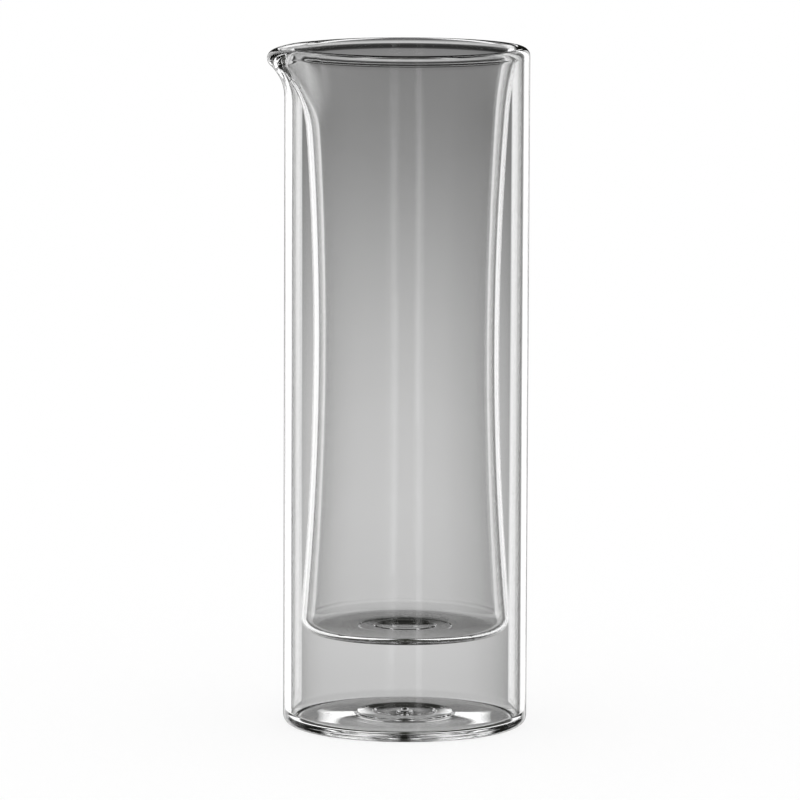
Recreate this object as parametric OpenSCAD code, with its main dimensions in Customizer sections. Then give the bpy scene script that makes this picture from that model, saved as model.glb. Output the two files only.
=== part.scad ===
// Double-wall glass cocktail pitcher with a pulled pouring spout.
// Sizes are in millimetres and Z is up. The origin is the centre of the foot, on the table.
// The spout points along -X. The glass is fused, so every piece meets its neighbours face to face.

/* [Pitcher] */
// Height from the foot to the top of the lip
pitcher_h = 251; // [220:1:290]
// Outside diameter of the jacket
jacket_d = 90; // [80:1:110]

/* [Jacket tube] */
// Wall of the jacket tube
jacket_wall = 3; // [2:0.1:3.6]

/* [Jacket base] */
// Height of the seam between the base and the tube
base_h = 9; // [8:0.5:14]
// Thickness of the base's floor
base_floor = 2.6; // [1.8:0.1:3.6]
// Rise of that floor from the heel up to the raised disc
base_dome = 1.1; // [0.2:0.1:1.4]
// Outside radius of the heel
heel_r = 3.3; // [2.5:0.1:6]
// Inside radius between the base's floor and its wall
heel_in_r = 3; // [1.5:0.5:4]
// Width of the flat ring that the pitcher stands on
foot_w = 5; // [3:0.5:8]
// Height of the hollow under the base, inside the foot ring
foot_hollow = 0.3; // [0.2:0.1:1]
// Diameter of the raised disc in the middle of the base
punt_d = 35; // [24:1:44]
// Rise of that disc
punt_rise = 0.8; // [0.6:0.1:1.6]
// Diameter of the step on top of the raised disc
step_d = 21; // [12:1:30]
// Rise of that step
step_rise = 0.4; // [0.2:0.1:1.2]
// Diameter of the vent through the base
vent_d = 3; // [2:0.5:5]

/* [Vent seal] */
// Diameter of the glass bead under the vent
seal_d = 7; // [6:0.5:10]
// Height of that bead
seal_h = 0.8; // [0.4:0.1:0.9]
// Rise of the seal's tip above the step
seal_tip = 0.5; // [0.2:0.1:1]

/* [Inner vessel] */
// Wall of the vessel
vessel_wall = 2.3; // [1.8:0.1:3]
// Thickness of the vessel's floor
vessel_floor = 2.2; // [1.6:0.1:3.6]
// Height of the vessel's underside above the table
vessel_lift = 34.5; // [26:0.5:50]
// Height of the waist above the table
waist_z = 140; // [110:1:170]
// Air space between the jacket and the waist
waist_gap = 7.7; // [5:0.1:12]
// Air space between the jacket and the belly
belly_gap = 3.4; // [2.5:0.1:6]
// Outside radius of the vessel's bottom corner
corner_r = 6; // [4.5:0.5:9]
// How far the mouth rolls outward under the lip
mouth_flare = 1.9; // [1:0.1:3]
// Height over which it rolls outward
flare_h = 22; // [18:1:40]
// Diameter of the raised disc in the vessel's floor
disc_d = 22; // [14:1:30]
// Rise of that disc
disc_rise = 0.2; // [0.1:0.1:1]
// Diameter of the shallow hollow in the vessel's underside
hollow_d = 33; // [24:1:44]
// Rise of that hollow
hollow_rise = 0.2; // [0.1:0.1:0.7]
// Diameter of the dimple in the middle of the hollow
dimple_d = 9.2; // [6:0.1:14]
// Rise of that dimple
dimple_rise = 0.5; // [0.2:0.1:0.7]

/* [Pouring rim] */
// Thickness of the rounded lip
lip_t = 6.4; // [5.6:0.1:7.6]
// Height of the rim, in which the two walls run together
rim_h = 36; // [32:1:42]
// How far the spout reaches past the jacket
spout_reach = 6.4; // [3:0.1:10]
// Width of the part of the lip that is drawn out for the spout
spout_w = 57; // [40:1:64]
// Depth below the lip at which the jacket starts to bend outward
spout_h = 16; // [12:1:19]
// Drop of the lip at the spout's tip
spout_droop = 1.2; // [0.5:0.1:3]
// Width of the air space where the walls start to run together
seam_gap = 1.5; // [1:0.1:2]

/* [Hidden] */

$fn = 128;
glass = [0.80, 0.84, 0.85];
rim_glass = [0.66, 0.70, 0.70];
seal_glass = [0.55, 0.60, 0.60];

// Radii of the jacket, and the height at which jacket, vessel and rim meet
jacket_r = jacket_d / 2;
bore_r = jacket_r - jacket_wall;
rim_z = pitcher_h - rim_h;

// Base: slopes at the edges of the raised disc and of its step, and the cut that runs the vent through
punt_r = punt_d / 2;
punt_slope_w = 1.2;
step_r = step_d / 2;
step_slope_w = 1.5;
vent_over = 1;
base_under_z = foot_hollow + punt_rise;
dome_z = base_floor + base_dome;
base_top_z = dome_z + punt_rise + step_rise;

// Vessel: radii inside the glass
waist_r = bore_r - waist_gap - vessel_wall;
belly_r = bore_r - belly_gap - vessel_wall;
belly_z = vessel_lift + corner_r;
belly_power = 1.9;
shoulder_r = jacket_r - lip_t - mouth_flare;
flare_power = 2.2;
floor_z = vessel_lift + vessel_floor;
corner_in_r = corner_r - vessel_wall;
disc_r = disc_d / 2;
hollow_r = hollow_d / 2;
dimple_r = dimple_d / 2;
floor_slope_w = 1;

// Lip: a bead whose centre follows a circle, drawn out and lowered at the spout
lip_r = lip_t / 2;
lip_z = pitcher_h - lip_r;
spout_half_angle = asin(spout_w / 2 / jacket_r);
spout_bend_power = 2.4;
spout_pull_power = 1.6;
pull_z = rim_z + 1;

// Top of the air space: its height, the side that its ridge lies on, and how far it closes at the spout
seam_taper = 2.4;
seam_skew = 0.3;
seam_closing = 0.6;
taper_closing = 0.84;

// Steps along the curves, and round the rim. The rim's steps are closer together at the spout.
arc_steps = 10;
side_steps = 24;
rim_steps = 90;
rim_crowding = 0.45;
wall_steps = 10;
lip_steps = 9;
gap_steps = 7;
taper_steps = 4;

// Points on an arc from angle a to angle b
function arc(centre, r, a, b, steps) =
    [for (i = [0:steps]) let (t = a + (b - a) * i / steps) centre + r * [cos(t), sin(t)]];

// Radius inside the vessel at height z: a belly, a waist, and a mouth that rolls outward
function flare(z) = mouth_flare * pow(max(0, (z - lip_z + flare_h) / flare_h), flare_power);
function upper_r(z) = waist_r + (shoulder_r - waist_r) * pow((z - waist_z) / (lip_z - waist_z), 2);
function lower_r(z) = waist_r + (belly_r - waist_r) * pow((waist_z - z) / (waist_z - belly_z), belly_power);
function vessel_r(z) = (z < waist_z ? lower_r(z) : upper_r(z)) + flare(z);

// Lean of the vessel's wall where it meets the bottom corner
belly_lean = atan(belly_power * (belly_r - waist_r) / (waist_z - belly_z));

// Bottom corner of the vessel, inside or outside, from the floor up to the wall
function corner(r, low_z, wall) =
    let (top_z = low_z + r + r * sin(belly_lean))
    let (centre = [vessel_r(top_z) + wall - r * cos(belly_lean), low_z + r])
    arc(centre, r, -90, belly_lean, arc_steps);

// Wall of the vessel from the corner up to the rim
function side(low_z, wall) =
    [for (i = [1:side_steps]) let (z = low_z + (rim_z - low_z) * i / side_steps) [vessel_r(z) + wall, z]];

// Raised disc or hollow in a floor: its slope, read from the edge towards the middle
function disc_slope(r, slope_w, z, rise) = [[r + slope_w, z], [r, z + rise]];
function reversed(points) = [for (i = [len(points) - 1:-1:0]) points[i]];

module outer_jacket() {
    color(glass) translate([0, 0, base_h]) difference() {
        cylinder(r = jacket_r, h = rim_z - base_h);
        translate([0, 0, -vent_over]) cylinder(r = bore_r, h = rim_z - base_h + 2 * vent_over);
    }
}

module jacket_base() {
    color(glass) rotate_extrude() polygon(concat(
        [[vent_d / 2, base_under_z]],
        reversed(disc_slope(punt_r, punt_slope_w, foot_hollow, punt_rise)),
        [[jacket_r - heel_r - foot_w, 0]],
        arc([jacket_r - heel_r, heel_r], heel_r, -90, 0, arc_steps),
        [[jacket_r, base_h], [bore_r, base_h]],
        arc([bore_r - heel_in_r, base_floor + heel_in_r], heel_in_r, 0, -90, arc_steps),
        disc_slope(punt_r, punt_slope_w, dome_z, punt_rise),
        disc_slope(step_r, step_slope_w, dome_z + punt_rise, step_rise),
        [[vent_d / 2, base_top_z]]
    ));
}

module inner_vessel() {
    low = corner(corner_r, vessel_lift, vessel_wall);
    high = corner(corner_in_r, floor_z, 0);
    color(glass) rotate_extrude() polygon(concat(
        [[0, vessel_lift + hollow_rise + dimple_rise]],
        reversed(disc_slope(dimple_r, floor_slope_w, vessel_lift + hollow_rise, dimple_rise)),
        reversed(disc_slope(hollow_r, floor_slope_w, vessel_lift, hollow_rise)),
        low,
        side(low[arc_steps][1], vessel_wall),
        reversed(side(high[arc_steps][1], 0)),
        reversed(high),
        disc_slope(disc_r, floor_slope_w, floor_z, disc_rise),
        [[0, floor_z + disc_rise]]
    ));
}

// Share of the spout's pull at an angle from its middle: 1 at the middle, 0 at its edges
function pull_share(a) = abs(a) < spout_half_angle ? pow(cos(90 * a / spout_half_angle), 2) : 0;

// Centre of the lip's bead, as radius and height
function lip_centre(a) =
    [jacket_r - lip_r + spout_reach * pull_share(a), lip_z - spout_droop * pow(pull_share(a), 2)];

// Lean of the jacket and of the vessel where they run into the bead
function jacket_lean(a) = atan(spout_bend_power * spout_reach * pull_share(a) / spout_h);
function mouth_lean(a) =
    atan(2 * (shoulder_r - waist_r) / (lip_z - waist_z) + flare_power * mouth_flare / flare_h
        + spout_reach * pull_share(a) * (1 - pull_share(a)) / (lip_centre(a)[1] - pull_z));

// Lip's section: from the jacket's face over the top to the vessel's face
function lip_section(a) = arc(lip_centre(a), lip_r, -jacket_lean(a), 180 - mouth_lean(a), lip_steps);

// How far the jacket's faces are bent outward at angle a and height z
function bend(a, z) =
    let (top = lip_section(a)[0], low_z = top[1] - spout_h + lip_r)
    (top[0] - jacket_r) * pow(min(max((z - low_z) / (top[1] - low_z), 0), 1), spout_bend_power);

// Outer face of the jacket below the bead
function jacket_face(a) =
    let (top = lip_section(a)[0], low_z = top[1] - spout_h + lip_r)
    [[jacket_r, rim_z], for (i = [0:wall_steps - 1]) let (z = low_z + (top[1] - low_z) * i / wall_steps)
        [jacket_r + bend(a, z), z]];

// Radius of the mouth at angle a and height z. The pull widens upward and meets the bead at its own point.
function ease(t) = t * t * (3 - 2 * t);
function mouth_r(a, z) =
    let (top = lip_section(a)[lip_steps], t = min(max((z - pull_z) / (top[1] - pull_z), 0), 1))
    let (spread = pull_share(a) + (1 - pull_share(a)) * t)
    vessel_r(z) + (top[0] - vessel_r(top[1])) * spread * ease(pow(t, spout_pull_power));

// Inner face of the vessel, from the bead down
function mouth_face(a) =
    let (top_z = lip_section(a)[lip_steps][1])
    [for (i = [1:wall_steps]) let (z = top_z + (rim_z - top_z) * i / wall_steps) [mouth_r(a, z), z]];

// The air space between the walls, its width, and the height at which it has narrowed, found by halving
function vessel_face_r(a, z) = mouth_r(a, z) + vessel_wall;
function jacket_bore_r(a, z) = bore_r + bend(a, z);
function gap_w(a, z) = jacket_bore_r(a, z) - vessel_face_r(a, z);
function seam_z(a, low, high, turns) =
    turns == 0 ? low :
    let (z = (low + high) / 2)
    gap_w(a, z) > seam_gap * (1 - seam_closing * pull_share(a))
        ? seam_z(a, z, high, turns - 1)
        : seam_z(a, low, z, turns - 1);

// Faces of the air space: up the vessel, over the ridge where the walls run together, down the jacket
function gap_face(a) =
    let (low_z = seam_z(a, rim_z, lip_centre(a)[1], 16))
    let (ridge_r = jacket_bore_r(a, low_z) - seam_skew * gap_w(a, low_z))
    let (taper_h = seam_taper * (1 - taper_closing * pull_share(a)))
    concat(
        [for (i = [0:gap_steps - 1]) let (z = rim_z + (low_z - rim_z) * i / gap_steps)
            [vessel_face_r(a, z), z]],
        [for (i = [-taper_steps:taper_steps])
            let (t = 1 - abs(i) / taper_steps, z = low_z + taper_h * t)
            let (side_r = i < 0 ? vessel_face_r(a, z) : jacket_bore_r(a, z))
            [ridge_r + (side_r - ridge_r) * (1 - t * t), z]],
        [for (i = [gap_steps - 1:-1:0]) let (z = rim_z + (low_z - rim_z) * i / gap_steps)
            [jacket_bore_r(a, z), z]]);

function rim_section(a) = concat(jacket_face(a), lip_section(a), mouth_face(a), gap_face(a));

// Angles round the rim from the spout, from half a turn before it to half a turn past it
function rim_angle(i) =
    let (turn = 360 * i / rim_steps - 180) turn - rim_crowding * sin(turn) * 180 / PI;

module pouring_rim() {
    sections = [for (i = [0:rim_steps - 1]) rim_section(rim_angle(i))];
    around = len(sections[0]);
    points = [for (i = [0:rim_steps - 1], p = sections[i])
        [-p[0] * cos(rim_angle(i)), -p[0] * sin(rim_angle(i)), p[1]]];
    faces = [for (i = [0:rim_steps - 1], j = [0:around - 1], half = [0, 1])
        let (next_i = (i + 1) % rim_steps, next_j = (j + 1) % around)
        let (a = i * around + j, b = next_i * around + j)
        let (c = next_i * around + next_j, d = i * around + next_j)
        half == 0 ? [a, c, b] : [a, d, c]];
    color(rim_glass) polyhedron(points, faces);
}

module vent_seal() {
    color(seal_glass) rotate_extrude() polygon(concat(
        [for (i = [0:arc_steps]) let (t = 90 * i / arc_steps)
            [seal_d / 2 * sin(t), base_under_z - seal_h * cos(t)]],
        [[vent_d / 2, base_under_z], [vent_d / 2, base_top_z]],
        [for (i = [1:arc_steps]) let (t = 90 * i / arc_steps)
            [vent_d / 2 * cos(t), base_top_z + seal_tip * sin(t)]]
    ));
}

outer_jacket();
jacket_base();
inner_vessel();
pouring_rim();
vent_seal();
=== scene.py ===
"""Double-wall cocktail pitcher of clear borosilicate glass: its visible pieces, finish, light and camera.

Everything is in metres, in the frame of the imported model: Z is up, the origin is the centre of the
foot, and the spout points along -X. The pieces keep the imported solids' sizes and take their places.
"""

import math

import bmesh
import bpy
from mathutils import Matrix, Vector


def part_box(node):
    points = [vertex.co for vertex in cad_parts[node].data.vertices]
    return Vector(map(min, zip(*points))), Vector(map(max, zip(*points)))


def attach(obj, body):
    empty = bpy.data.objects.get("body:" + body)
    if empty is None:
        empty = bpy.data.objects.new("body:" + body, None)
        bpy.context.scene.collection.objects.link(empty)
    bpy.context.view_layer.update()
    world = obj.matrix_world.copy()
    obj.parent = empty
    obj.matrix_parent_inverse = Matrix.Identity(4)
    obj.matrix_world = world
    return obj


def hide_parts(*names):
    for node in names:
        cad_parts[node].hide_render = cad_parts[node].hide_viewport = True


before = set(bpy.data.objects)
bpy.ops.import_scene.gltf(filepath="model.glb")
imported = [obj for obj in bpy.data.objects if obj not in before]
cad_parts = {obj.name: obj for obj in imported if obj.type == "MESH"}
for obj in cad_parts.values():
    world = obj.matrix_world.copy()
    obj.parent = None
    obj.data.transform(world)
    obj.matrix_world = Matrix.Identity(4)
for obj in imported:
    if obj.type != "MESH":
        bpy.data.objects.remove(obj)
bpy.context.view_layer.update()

MM = 0.001

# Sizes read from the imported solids
tube_low, tube_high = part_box("outer_jacket")
vessel_low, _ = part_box("inner_vessel")
rim_low, rim_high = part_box("pouring_rim")
_, seal_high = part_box("vent_seal")

JACKET_R = tube_high.x
SEAM_Z = tube_low.z
RIM_Z = rim_low.z
TOP_Z = rim_high.z
VESSEL_Z = vessel_low.z
SPOUT_REACH = -rim_low.x - JACKET_R
SEAL_R = seal_high.x

# The jacket and its base
JACKET_WALL = 3.0 * MM
BORE_R = JACKET_R - JACKET_WALL
BASE_FLOOR = 2.6 * MM
BASE_DOME = 1.1 * MM
HEEL_R = 3.3 * MM
HEEL_IN_R = 3.0 * MM
FOOT_W = 5.0 * MM
FOOT_HOLLOW = 0.3 * MM
PUNT_R = 17.5 * MM
PUNT_RISE = 0.8 * MM
PUNT_SLOPE_W = 1.2 * MM
STEP_R = 10.5 * MM
STEP_RISE = 0.4 * MM
STEP_SLOPE_W = 1.5 * MM
VENT_R = 1.5 * MM
SEAL_H = 0.8 * MM
SEAL_TIP = 0.5 * MM

# The vessel
VESSEL_WALL = 2.3 * MM
VESSEL_FLOOR = 2.2 * MM
WAIST_Z = 140.0 * MM
WAIST_GAP = 7.7 * MM
WAIST_R = BORE_R - WAIST_GAP - VESSEL_WALL
BELLY_GAP = 3.4 * MM
BELLY_R = BORE_R - BELLY_GAP - VESSEL_WALL
BELLY_POWER = 1.9
CORNER_R = 6.0 * MM
BELLY_Z = VESSEL_Z + CORNER_R
DISC_R = 11.0 * MM
DISC_RISE = 0.2 * MM
HOLLOW_R = 16.5 * MM
HOLLOW_RISE = 0.2 * MM
DIMPLE_R = 4.6 * MM
DIMPLE_RISE = 0.5 * MM
FLOOR_SLOPE_W = 1.0 * MM

# The lip, the spout and the closed top of the air space under them
LIP_R = 3.2 * MM
LIP_Z = TOP_Z - LIP_R
MOUTH_FLARE = 1.9 * MM
FLARE_H = 22.0 * MM
FLARE_POWER = 2.2
SHOULDER_R = JACKET_R - 2 * LIP_R - MOUTH_FLARE
SPOUT_W = 57.0 * MM
SPOUT_HALF_ANGLE = math.asin(SPOUT_W / 2 / JACKET_R)
SPOUT_H = 16.0 * MM
SPOUT_DROOP = 1.2 * MM
BEND_POWER = 2.4
PULL_START = 1.0 * MM
PULL_POWER = 1.6
SEAM_GAP = 1.5 * MM
SEAM_TAPER = 2.4 * MM
SEAM_SKEW = 0.3
SEAM_CLOSING = 0.6
TAPER_CLOSING = 0.84

# The waves that drawing and reheating leave in the glass
WAVE_ACROSS = 20.0 * MM
WAVE_UP = 111.0 * MM
WAVE_DEPTH = 0.04 * MM

# Fineness of the surfaces
TURNS = 288
CURVE = 14
LIP_STEPS = 30
RIM_STEPS = 24
WALL_STEPS = 80
SEARCH_STEPS = 20
SHARP_ANGLE = math.radians(40)
WELD_DISTANCE = 0.0001 * MM
SAME_HEIGHT = 0.000001 * MM

# Screens behind the glass: shade by elevation, then by azimuth from the screen's middle, in degrees
SCREEN_EVERY = 45.0
HALF_SECTOR = SCREEN_EVERY / 2
SCREEN = [
    (-80, "#D8D8D8"), (-62, "#C4C4C4"), (-54, "#4C4C4C"), (-40, "#6C6C6C"), (-26, "#C4C4C4"),
    (-12, "#CECECE"), (-9.7, "#D1D1D1"), (-9.0, "#DDDDDD"), (-8.0, "#DEDEDE"), (-7.3, "#CFCFCF"),
    (-6.7, "#C7C7C7"), (-6.0, "#A8A8A8"), (-5.0, "#8C8C8C"), (-4.0, "#838383"), (-3.0, "#5C5C5C"),
    (-1.0, "#444444"), (2.0, "#383838"), (5.0, "#202020"), (8.0, "#101010"), (60, "#0A0A0A"),
]
SIDE_SCREEN_RISE = 7.0
SCREEN_SHADE = [
    (-9, "#F2F2F2"), (-5.8, "#F9F9F9"), (-3.9, "#FDFDFD"), (0, "#FFFFFF"), (1.7, "#FCFCFC"),
    (2.6, "#F9F9F9"), (3.7, "#F2F2F2"), (5.5, "#ECECEC"), (9, "#E3E3E3"),
]
SCREEN_EDGES = [(-10.2, "#FFFFFF"), (-9.7, "#000000"), (9.7, "#000000"), (10.2, "#FFFFFF")]
SCREEN_SIDE_STRENGTH = 1.08

# White panels, by elevation, and where the walls reflect them from, by azimuth from behind the glass
PANEL = [
    (-88, "#2A2C24"), (-80, "#FFFFFF"), (60, "#FFFFFF"), (66, "#101010"), (80, "#0A0A08"),
]
REFLECTED_PANELS = [
    (-36, "#000000"), (-34, "#FFFFFF"), (-12.5, "#FFFFFF"), (-11, "#000000"),
    (11, "#000000"), (12.5, "#FFFFFF"), (28, "#FFFFFF"), (32, "#000000"),
]
PANEL_STRENGTH = 1.4

# Panels seen through the vessel stand in by PARALLAX degrees, and above OVERHEAD_LOW they widen
WALLS_CROSSED = 4.5
PARALLAX = 4.4
OVERHEAD_LOW = 4.0
OVERHEAD_HIGH = 9.0
OVERHEAD_NARROWING = 4.5

# The room that the walls reflect, two strip lamps in front and two small lamps behind
ROOM = [
    (-60, "#2A2C24"), (-30, "#4C4C4A"), (-4, "#5C5C5A"), (0, "#1C1D1A"), (80, "#0A0A08"),
]
STRIPS = [
    (-170, "#000000"), (-169, "#9C9C9C"), (-161, "#9C9C9C"), (-159, "#000000"),
    (163, "#000000"), (164, "#FFFFFF"), (169, "#FFFFFF"), (170, "#000000"),
]
STRIP_HEIGHTS = [(-42, "#000000"), (-40, "#FFFFFF"), (-5.5, "#FFFFFF"), (-5, "#000000")]
STRIP_STRENGTH = 0.5
SPOTS = [
    (-4.6, "#000000"), (-4.2, "#FFFFFF"), (-2.9, "#FFFFFF"), (-2.5, "#000000"),
    (2.5, "#000000"), (2.9, "#FFFFFF"), (4.2, "#FFFFFF"), (4.6, "#000000"),
]
SPOT_HEIGHTS = [(8.4, "#000000"), (9.0, "#FFFFFF"), (12.6, "#FFFFFF"), (13.2, "#000000")]
SPOT_STRENGTH = 3.2

# The table, of which this share is lit from all round
TABLE_FLOODING = 0.7
TABLE_HALF_W = 6.0

# The photograph's view
VIEW_DISTANCE = 2.6
VIEW_ELEVATION = math.radians(7.6)
VIEW_AIM = Vector((0.0, 0.0, 120.0 * MM))
VIEW_OFF_AXIS = Vector((-2.2 * MM, 0.0, 0.4 * MM))
VIEW_LENS = 317.3
VIEW_LEAN = math.radians(0.23)
VIEW_REACH = 50.0

# How many walls of glass light may pass or reflect in
BOUNCES = 32
GLOSSY_BOUNCES = 16
CLEAR_BOUNCES = 48


def arc(centre_r, centre_z, radius, start, end, steps=CURVE):
    """Points of an arc in a section, as radius and height, from one angle in degrees to another."""
    angles = [math.radians(start + (end - start) * i / steps) for i in range(steps + 1)]
    return [(centre_r + radius * math.cos(a), centre_z + radius * math.sin(a)) for a in angles]


def cap(radius, z, reach):
    """Points of a drop's round end, from its tip on the axis out to its full radius."""
    angles = [math.pi / 2 * i / CURVE for i in range(CURVE + 1)]
    return [(radius * math.sin(a), z + reach * math.cos(a)) for a in angles]


def between(start, end, steps):
    """Evenly spaced values after start, up to and with end."""
    return [start + (end - start) * i / steps for i in range(1, steps + 1)]


def ease(t):
    """A smooth step from 0 to 1."""
    t = min(max(t, 0.0), 1.0)
    return t * t * (3 - 2 * t)


def disc_points(r, slope_w, z, rise, steps=CURVE):
    """The rounded step up to a raised disc in a floor, from its foot inwards to its edge."""
    return [(r + slope_w * (1 - i / steps), z + rise * ease(i / steps)) for i in range(steps + 1)]


def vessel_r(z):
    """Radius inside the vessel: a belly, a waist, and a mouth that rolls outward."""
    flare = MOUTH_FLARE * max(0.0, (z - LIP_Z + FLARE_H) / FLARE_H) ** FLARE_POWER
    if z < WAIST_Z:
        low = (WAIST_Z - z) / (WAIST_Z - BELLY_Z)
        return WAIST_R + (BELLY_R - WAIST_R) * low ** BELLY_POWER + flare
    high = (z - WAIST_Z) / (LIP_Z - WAIST_Z)
    return WAIST_R + (SHOULDER_R - WAIST_R) * high ** 2 + flare


def swept(name, sections, seams, glass, seam_glass):
    """A closed piece from one closed section at each angle round the axis.

    sections is a list of (angle, points), with the angle counted from the spout. seams holds the
    section steps whose faces are fused to the next piece.
    """
    shape = bmesh.new()
    rings = []
    for angle, points in sections:
        rings.append([
            shape.verts.new((-r * math.cos(angle), -r * math.sin(angle), z)) for r, z in points
        ])
    count = len(rings[0])
    for i, ring in enumerate(rings):
        following = rings[(i + 1) % len(rings)]
        points = sections[i][1]
        for j in range(count):
            k = (j + 1) % count
            if points[j][0] == 0 and points[k][0] == 0:
                continue
            face = shape.faces.new((ring[j], ring[k], following[k], following[j]))
            face.smooth = True
            face.material_index = 1 if j in seams else 0
    bmesh.ops.remove_doubles(shape, verts=shape.verts, dist=WELD_DISTANCE)
    bmesh.ops.recalc_face_normals(shape, faces=shape.faces)
    mesh = bpy.data.meshes.new(name)
    shape.to_mesh(mesh)
    shape.free()
    mesh.materials.append(glass)
    mesh.materials.append(seam_glass)
    mesh.set_sharp_from_angle(angle=SHARP_ANGLE)
    piece = bpy.data.objects.new(name, mesh)
    bpy.context.scene.collection.objects.link(piece)
    return piece


def turned(name, points, seams, glass, seam_glass):
    """A closed piece turned from one section."""
    angles = [2 * math.pi * i / TURNS for i in range(TURNS)]
    return swept(name, [(a, points) for a in angles], seams, glass, seam_glass)


def jacket_tube(glass, seam_glass):
    """The straight outer wall, fused to the rim above and to the base below."""
    points = [(JACKET_R, SEAM_Z), (JACKET_R, RIM_Z), (BORE_R, RIM_Z), (BORE_R, SEAM_Z)]
    return turned("jacket_tube", points, {1, 3}, glass, seam_glass)


def jacket_foot(glass, seam_glass):
    """The base: rounded heel, foot ring, hollow underside and the raised disc round the vent."""
    under = disc_points(PUNT_R, PUNT_SLOPE_W, FOOT_HOLLOW, PUNT_RISE)[::-1]
    foot_r = JACKET_R - HEEL_R - FOOT_W
    heel = arc(JACKET_R - HEEL_R, HEEL_R, HEEL_R, -90, 0)
    wall = [(JACKET_R, SEAM_Z), (BORE_R, SEAM_Z)]
    inside = arc(BORE_R - HEEL_IN_R, BASE_FLOOR + HEEL_IN_R, HEEL_IN_R, 0, -90)
    dome_z = BASE_FLOOR + BASE_DOME
    disc = disc_points(PUNT_R, PUNT_SLOPE_W, dome_z, PUNT_RISE)
    disc += disc_points(STEP_R, STEP_SLOPE_W, dome_z + PUNT_RISE, STEP_RISE)
    vent = [(VENT_R, dome_z + PUNT_RISE + STEP_RISE), (VENT_R, FOOT_HOLLOW + PUNT_RISE)]
    bead = [(SEAL_R, FOOT_HOLLOW + PUNT_RISE)]
    points = bead + under + [(foot_r, 0.0)] + heel + wall + inside + disc + vent
    tube_seam = points.index(wall[0])
    vent_seams = {len(points) - 2, len(points) - 1}
    return turned("jacket_foot", points, {tube_seam} | vent_seams, glass, seam_glass)


def vessel(glass, seam_glass):
    """The waisted vessel, open into the rim at its top."""
    lean = math.atan(BELLY_POWER * (BELLY_R - WAIST_R) / (WAIST_Z - BELLY_Z))

    def wall(radius, low_z, thickness):
        top_z = low_z + radius * (1 + math.sin(lean))
        centre_r = vessel_r(top_z) + thickness - radius * math.cos(lean)
        corner = arc(centre_r, low_z + radius, radius, -90, math.degrees(lean))
        return corner + [(vessel_r(z) + thickness, z) for z in between(top_z, RIM_Z, WALL_STEPS)]

    floor_z = VESSEL_Z + VESSEL_FLOOR
    under = disc_points(HOLLOW_R, FLOOR_SLOPE_W, VESSEL_Z, HOLLOW_RISE)
    under += disc_points(DIMPLE_R, FLOOR_SLOPE_W, VESSEL_Z + HOLLOW_RISE, DIMPLE_RISE)
    under = under[::-1]
    outside = wall(CORNER_R, VESSEL_Z, VESSEL_WALL)
    inside = wall(CORNER_R - VESSEL_WALL, floor_z, 0)[::-1]
    disc = disc_points(DISC_R, FLOOR_SLOPE_W, floor_z, DISC_RISE)
    lowest = (0, VESSEL_Z + HOLLOW_RISE + DIMPLE_RISE)
    points = [lowest] + under + outside + inside + disc + [(0, floor_z + DISC_RISE)]
    rim_seam = len(under) + len(outside)
    return turned("vessel", points, {rim_seam}, glass, seam_glass)


def pull_share(angle):
    """Share of the spout's pull: 1 at its middle, 0 at its edges."""
    if abs(angle) >= SPOUT_HALF_ANGLE:
        return 0.0
    return math.cos(math.pi / 2 * angle / SPOUT_HALF_ANGLE) ** 2


def lip_arc(share):
    """The round lip, from where it leaves the jacket's face to where it runs into the mouth."""
    centre_r = JACKET_R - LIP_R + SPOUT_REACH * share
    centre_z = LIP_Z - SPOUT_DROOP * share ** 2
    jacket_slope = BEND_POWER * SPOUT_REACH * share / SPOUT_H
    mouth_slope = 2 * (SHOULDER_R - WAIST_R) / (LIP_Z - WAIST_Z) + FLARE_POWER * MOUTH_FLARE / FLARE_H
    mouth_slope += SPOUT_REACH * share * (1 - share) / (centre_z - RIM_Z - PULL_START)
    start = -math.degrees(math.atan(jacket_slope))
    end = 180 - math.degrees(math.atan(mouth_slope))
    return arc(centre_r, centre_z, LIP_R, start, end, LIP_STEPS)


def air_gap(bend, back_r, share):
    """The top of the air space: up the vessel's back, over a tapered ridge, down the jacket's bore."""
    low = RIM_Z
    high = LIP_Z - SPOUT_DROOP * share ** 2
    for _ in range(SEARCH_STEPS):
        middle = (low + high) / 2
        if BORE_R + bend(middle) - back_r(middle) > SEAM_GAP * (1 - SEAM_CLOSING * share):
            low = middle
        else:
            high = middle
    climb = [RIM_Z + (low - RIM_Z) * i / RIM_STEPS for i in range(RIM_STEPS)]
    gap = [(back_r(z), z) for z in climb]
    bore_r = BORE_R + bend(low)
    top_r = bore_r - SEAM_SKEW * (bore_r - back_r(low))
    for i in range(-CURVE, CURVE + 1):
        t = 1 - abs(i) / CURVE
        z = low + SEAM_TAPER * (1 - TAPER_CLOSING * share) * t
        wall_r = back_r(z) if i < 0 else BORE_R + bend(z)
        gap.append((top_r + (wall_r - top_r) * (1 - t * t), z))
    return gap + [(BORE_R + bend(z), z) for z in reversed(climb)]


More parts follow.
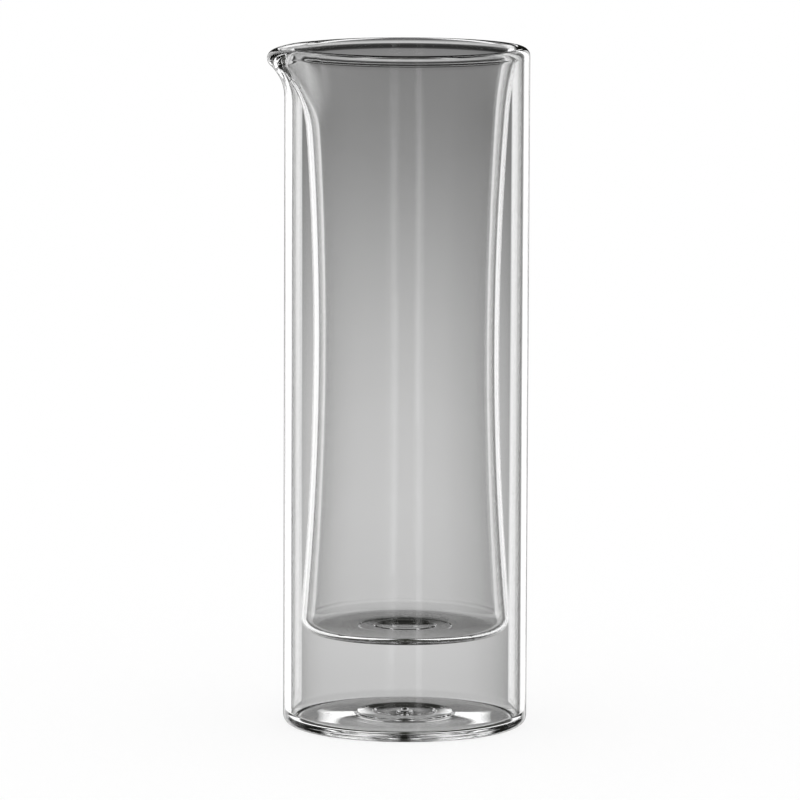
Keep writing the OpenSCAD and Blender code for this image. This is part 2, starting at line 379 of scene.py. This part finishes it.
def rim_section(angle):
    """One section of the rim: jacket's face, lip, mouth, then the air space between the walls."""
    share = pull_share(angle)
    lip = lip_arc(share)
    lip_r, lip_z = lip[0]
    mouth_top_r, mouth_top_z = lip[-1]
    low_z = lip_z - SPOUT_H + LIP_R

    def bend(z):
        t = min(max((z - low_z) / (lip_z - low_z), 0.0), 1.0)
        return (lip_r - JACKET_R) * t ** BEND_POWER

    def mouth_r(z):
        t = min(max((z - RIM_Z - PULL_START) / (mouth_top_z - RIM_Z - PULL_START), 0.0), 1.0)
        spread = share + (1 - share) * t
        return vessel_r(z) + (mouth_top_r - vessel_r(mouth_top_z)) * spread * ease(t ** PULL_POWER)

    def back_r(z):
        return mouth_r(z) + VESSEL_WALL

    jacket_z = [low_z + (lip_z - low_z) * i / RIM_STEPS for i in range(RIM_STEPS)]
    jacket = [(JACKET_R, RIM_Z)] + [(JACKET_R + bend(z), z) for z in jacket_z]
    mouth = [(mouth_r(z), z) for z in between(mouth_top_z, RIM_Z, RIM_STEPS)]
    return jacket + lip + mouth + air_gap(bend, back_r, share)


def pouring_rim(glass, seam_glass):
    """The fused rim with its round lip and drawn-out spout."""
    sections = []
    for i in range(TURNS):
        angle = 2 * math.pi * i / TURNS
        sections.append((angle, rim_section(math.remainder(angle, 2 * math.pi))))
    heights = [z for _, z in sections[0][1]]
    low_edges = [j for j, z in enumerate(heights) if abs(z - RIM_Z) < SAME_HEIGHT]
    vessel_seam, jacket_seam = low_edges[1], low_edges[3]
    return swept("rim_and_spout", sections, {vessel_seam, jacket_seam}, glass, seam_glass)


def vent_tip(glass, seam_glass):
    """The drop of glass that closes the vent: a stem in the hole and a bead under it."""
    under_z = FOOT_HOLLOW + PUNT_RISE
    top_z = BASE_FLOOR + BASE_DOME + PUNT_RISE + STEP_RISE
    bead = cap(SEAL_R, under_z, -SEAL_H)
    tip = cap(VENT_R, top_z, SEAL_TIP)[::-1]
    points = bead + [(VENT_R, under_z)] + tip
    return turned("vent_tip", points, {len(bead) - 1, len(bead)}, glass, seam_glass)


def linear(hex_colour):
    """An sRGB hex colour as linear red, green, blue and alpha."""
    parts = [int(hex_colour[i:i + 2], 16) / 255 for i in (1, 3, 5)]
    return tuple(c / 12.92 if c <= 0.04045 else ((c + 0.055) / 1.055) ** 2.4 for c in parts) + (1.0,)


def add(tree, kind, inputs=None, **settings):
    """Adds a node with its settings. An input is a value, or a node or socket to link from."""
    made = tree.nodes.new(kind)
    for name, value in settings.items():
        setattr(made, name, value)
    for key, value in (inputs or {}).items():
        if isinstance(value, bpy.types.Node):
            value = value.outputs[0]
        if isinstance(value, bpy.types.NodeSocket):
            tree.links.new(value, made.inputs[key])
        else:
            made.inputs[key].default_value = value
    return made


def new_material(name):
    """An empty material and its tree of nodes."""
    material = bpy.data.materials.new(name)
    material.use_nodes = True
    material.node_tree.nodes.clear()
    return material, material.node_tree


def borosilicate_glass():
    """Clear borosilicate glass, drawn as tube, worked and fire-polished in a flame.

    Smooth and colourless: IOR 1.47, no haze. Drawing and reheating leave a slow waviness, about
    20 mm across and longer up the tube, which makes the reflections of the lamps run a little crooked.
    """
    material, tree = new_material("flame_worked_borosilicate")
    place = add(tree, "ShaderNodeTexCoord").outputs["Object"]
    stretched = add(tree, "ShaderNodeMapping", {
        "Vector": place, "Scale": (1 / WAVE_ACROSS, 1 / WAVE_ACROSS, 1 / WAVE_UP),
    })
    waves = add(tree, "ShaderNodeTexNoise", {"Vector": stretched, "Scale": 1.0, "Detail": 1.0})
    skin = add(tree, "ShaderNodeBump", {"Height": waves, "Strength": 1.0, "Distance": WAVE_DEPTH})
    glass = add(tree, "ShaderNodeBsdfPrincipled", {
        "Base Color": linear("#FFFFFF"), "Roughness": 0.0, "IOR": 1.473, "Transmission Weight": 1.0,
        "Normal": skin,
    })
    clear = add(tree, "ShaderNodeBsdfTransparent", {"Color": linear("#FDFDFD")})
    path = add(tree, "ShaderNodeLightPath").outputs
    mixed = add(tree, "ShaderNodeMixShader", {0: path["Is Shadow Ray"], 1: glass, 2: clear})
    add(tree, "ShaderNodeOutputMaterial", {"Surface": mixed})
    return material


def fused_seam():
    """Where two pieces are fused there is no surface, so light goes straight on."""
    material, tree = new_material("fused_seam")
    clear = add(tree, "ShaderNodeBsdfTransparent", {"Color": linear("#FFFFFF")})
    add(tree, "ShaderNodeOutputMaterial", {"Surface": clear})
    return material


def white_table():
    """Matt white paint, part of it glowing so that the glass throws only a faint shadow.

    Glass sees the studio through it.
    """
    material, tree = new_material("white_table")
    paint = add(tree, "ShaderNodeBsdfDiffuse", {"Color": linear("#FFFFFF")})
    white = add(tree, "ShaderNodeEmission", {"Color": linear("#FFFFFF"), "Strength": 1.0})
    clear = add(tree, "ShaderNodeBsdfTransparent")
    path = add(tree, "ShaderNodeLightPath").outputs
    flooded = add(tree, "ShaderNodeMath", {
        0: path["Is Camera Ray"], 1: TABLE_FLOODING,
    }, operation="MULTIPLY")
    lit = add(tree, "ShaderNodeMixShader", {0: flooded, 1: paint, 2: white})
    through = add(tree, "ShaderNodeMath", {
        0: path["Is Glossy Ray"], 1: path["Is Transmission Ray"],
    }, operation="MAXIMUM")
    mixed = add(tree, "ShaderNodeMixShader", {0: through, 1: lit, 2: clear})
    add(tree, "ShaderNodeOutputMaterial", {"Surface": mixed})
    return material


def colour_steps(tree, value, reach, stops):
    """A colour that changes with a value between -reach and reach, by stops of value and hex colour."""
    share = add(tree, "ShaderNodeMapRange", {"Value": value, "From Min": -reach, "From Max": reach})
    ramp = add(tree, "ShaderNodeValToRGB", {0: share})
    elements = ramp.color_ramp.elements
    for place, colour in stops:
        elements.new((place + reach) / (2 * reach)).color = linear(colour)
    elements.remove(elements[0])
    elements.remove(elements[-1])
    return ramp


def drawn_in(tree, angle, by):
    """An angle brought nearer to 0 from either side, so that what it places stands farther out."""
    size = add(tree, "ShaderNodeMath", {0: angle}, operation="ABSOLUTE")
    side = add(tree, "ShaderNodeMath", {0: angle}, operation="SIGN")
    less = add(tree, "ShaderNodeMath", {0: size, 1: by}, operation="SUBTRACT")
    less = add(tree, "ShaderNodeMath", {0: less, 1: 0.0}, operation="MAXIMUM")
    return add(tree, "ShaderNodeMath", {0: side, 1: less}, operation="MULTIPLY")


def screens_behind(tree, turn, height, white, nearer):
    """What stands straight through the glass: a graded grey screen with white panels beside it.

    There is one every 45 degrees. On all but the one behind the photographed view the gradient
    stands higher, so that the body is as grey when it is seen level from the side.
    """
    size = add(tree, "ShaderNodeMath", {0: turn}, operation="ABSOLUTE")
    aside = add(tree, "ShaderNodeMath", {0: size, 1: HALF_SECTOR}, operation="GREATER_THAN")
    rise = add(tree, "ShaderNodeMath", {0: aside, 1: SIDE_SCREEN_RISE}, operation="MULTIPLY")
    screen_height = add(tree, "ShaderNodeMath", {0: height, 1: rise}, operation="SUBTRACT")
    screen = colour_steps(tree, screen_height, 90, SCREEN)

    start = add(tree, "ShaderNodeMath", {0: turn, 1: HALF_SECTOR}, operation="ADD")
    place = add(tree, "ShaderNodeMath", {0: start, 1: SCREEN_EVERY}, operation="FLOORED_MODULO")
    off_screen = add(tree, "ShaderNodeMath", {0: place, 1: HALF_SECTOR}, operation="SUBTRACT")
    shade = colour_steps(tree, off_screen, HALF_SECTOR, SCREEN_SHADE)
    shaded = add(tree, "ShaderNodeVectorMath", {0: screen, 1: shade}, operation="MULTIPLY")

    overhead = add(tree, "ShaderNodeMapRange", {
        "Value": height, "From Min": OVERHEAD_LOW, "From Max": OVERHEAD_HIGH,
        "To Max": OVERHEAD_NARROWING,
    })
    by = add(tree, "ShaderNodeMath", {0: nearer, 1: overhead}, operation="SUBTRACT")
    edges = colour_steps(tree, drawn_in(tree, off_screen, by), HALF_SECTOR, SCREEN_EDGES)
    sides = add(tree, "ShaderNodeVectorMath", {0: white, "Scale": SCREEN_SIDE_STRENGTH}, operation="SCALE")
    return add(tree, "ShaderNodeMix", {0: edges, 6: shaded, 7: sides}, data_type="RGBA").outputs[2]


def room_reflected(tree, turn, height, white, nearer, crossed):
    """What the walls reflect: a dim room, white panels, two strip lamps and two small lamps.

    The small lamps are seen only where the light has not crossed the vessel, which puts two white
    patches in the base.
    """
    room = colour_steps(tree, height, 90, ROOM)
    panels = colour_steps(tree, drawn_in(tree, turn, nearer), 180, REFLECTED_PANELS)
    bright = add(tree, "ShaderNodeVectorMath", {0: white, "Scale": PANEL_STRENGTH}, operation="SCALE")
    walls = add(tree, "ShaderNodeMix", {0: panels, 6: room, 7: bright}, data_type="RGBA").outputs[2]

    strips = add(tree, "ShaderNodeVectorMath", {
        0: colour_steps(tree, turn, 180, STRIPS), 1: colour_steps(tree, height, 90, STRIP_HEIGHTS),
    }, operation="MULTIPLY")
    strips = add(tree, "ShaderNodeVectorMath", {0: strips, "Scale": STRIP_STRENGTH}, operation="SCALE")

    spots = add(tree, "ShaderNodeVectorMath", {
        0: colour_steps(tree, turn, 180, SPOTS), 1: colour_steps(tree, height, 90, SPOT_HEIGHTS),
    }, operation="MULTIPLY")
    jacket_only = add(tree, "ShaderNodeMath", {0: 1.0, 1: crossed}, operation="SUBTRACT")
    power = add(tree, "ShaderNodeMath", {0: jacket_only, 1: SPOT_STRENGTH}, operation="MULTIPLY")
    spots = add(tree, "ShaderNodeVectorMath", {0: spots, "Scale": power}, operation="SCALE")

    lamps = add(tree, "ShaderNodeVectorMath", {0: strips, 1: spots}, operation="ADD")
    return add(tree, "ShaderNodeVectorMath", {0: walls, 1: lamps}, operation="ADD")


def studio_world():
    """The studio round the glass, by the direction that a ray leaves it in.

    Straight through the glass stand the screens, and reflections in its walls see the room. The two
    differ in a studio because they are looked at from different places, and the photograph shows
    both. Overhead it is dark, which draws the dark lines along the lip and the foot. The background
    and what lights the table are plain white.
    """
    world = bpy.data.worlds.new("studio")
    world.use_nodes = True
    bpy.context.scene.world = world
    tree = world.node_tree
    tree.nodes.clear()

    direction = add(tree, "ShaderNodeTexCoord").outputs["Generated"]
    along = add(tree, "ShaderNodeSeparateXYZ", {0: direction}).outputs
    turn = add(tree, "ShaderNodeMath", {0: along["X"], 1: along["Y"]}, operation="ARCTAN2")
    turn = add(tree, "ShaderNodeMath", {0: turn}, operation="DEGREES")
    height = add(tree, "ShaderNodeMath", {0: along["Z"]}, operation="ARCSINE")
    height = add(tree, "ShaderNodeMath", {0: height}, operation="DEGREES")

    path = add(tree, "ShaderNodeLightPath").outputs
    crossed = add(tree, "ShaderNodeMath", {
        0: path["Transmission Depth"], 1: WALLS_CROSSED,
    }, operation="GREATER_THAN")
    nearer = add(tree, "ShaderNodeMath", {0: crossed, 1: PARALLAX}, operation="MULTIPLY")
    white = colour_steps(tree, height, 90, PANEL)
    ahead = screens_behind(tree, turn, height, white, nearer)
    round_about = room_reflected(tree, turn, height, white, nearer, crossed)

    mirrored = add(tree, "ShaderNodeMath", {0: path["Glossy Depth"], 1: 1.0}, operation="MINIMUM")
    studio = add(tree, "ShaderNodeMix", {
        0: mirrored, 6: ahead, 7: round_about,
    }, data_type="RGBA").outputs[2]
    through = add(tree, "ShaderNodeMath", {
        0: path["Is Glossy Ray"], 1: path["Is Transmission Ray"],
    }, operation="MAXIMUM")
    direct = add(tree, "ShaderNodeMath", {0: path["Diffuse Depth"], 1: 0.5}, operation="LESS_THAN")
    by_glass = add(tree, "ShaderNodeMath", {0: through, 1: direct}, operation="MULTIPLY")
    seen = add(tree, "ShaderNodeMix", {
        0: by_glass, 6: linear("#FFFFFF"), 7: studio,
    }, data_type="RGBA").outputs[2]
    background = add(tree, "ShaderNodeBackground", {"Color": seen, "Strength": 1.0})
    add(tree, "ShaderNodeOutputWorld", {"Surface": background})


def studio_floor():
    """The plain table that the pitcher stands on."""
    shape = bmesh.new()
    bmesh.ops.create_grid(shape, x_segments=1, y_segments=1, size=TABLE_HALF_W)
    mesh = bpy.data.meshes.new("table")
    shape.to_mesh(mesh)
    shape.free()
    mesh.materials.append(white_table())
    table = bpy.data.objects.new("table", mesh)
    bpy.context.scene.collection.objects.link(table)


def camera():
    """The photograph's view: far off, a little above the pitcher, which leans a quarter degree."""
    away = Vector((0.0, -math.cos(VIEW_ELEVATION), math.sin(VIEW_ELEVATION)))
    place = VIEW_AIM + VIEW_DISTANCE * away
    data = bpy.data.cameras.new("camera")
    data.lens = VIEW_LENS
    data.clip_end = VIEW_REACH
    seen = bpy.data.objects.new("camera", data)
    turn = (VIEW_AIM + VIEW_OFF_AXIS - place).to_track_quat("-Z", "Y").to_matrix().to_4x4()
    seen.matrix_world = Matrix.Translation(place) @ turn @ Matrix.Rotation(VIEW_LEAN, 4, "Z")
    bpy.context.scene.collection.objects.link(seen)
    bpy.context.scene.camera = seen


def main():
    """Makes the pitcher, then the studio round it."""
    glass = borosilicate_glass()
    seam_glass = fused_seam()
    made = {
        "outer_jacket": jacket_tube(glass, seam_glass),
        "jacket_base": jacket_foot(glass, seam_glass),
        "inner_vessel": vessel(glass, seam_glass),
        "pouring_rim": pouring_rim(glass, seam_glass),
        "vent_seal": vent_tip(glass, seam_glass),
    }
    for node, piece in made.items():
        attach(piece, "root")
        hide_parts(node)
    studio_world()
    studio_floor()
    camera()
    bpy.context.scene.view_settings.view_transform = "Standard"
    cycles = bpy.context.scene.cycles
    cycles.max_bounces = BOUNCES
    cycles.transmission_bounces = BOUNCES
    cycles.glossy_bounces = GLOSSY_BOUNCES
    cycles.transparent_max_bounces = CLEAR_BOUNCES


main()
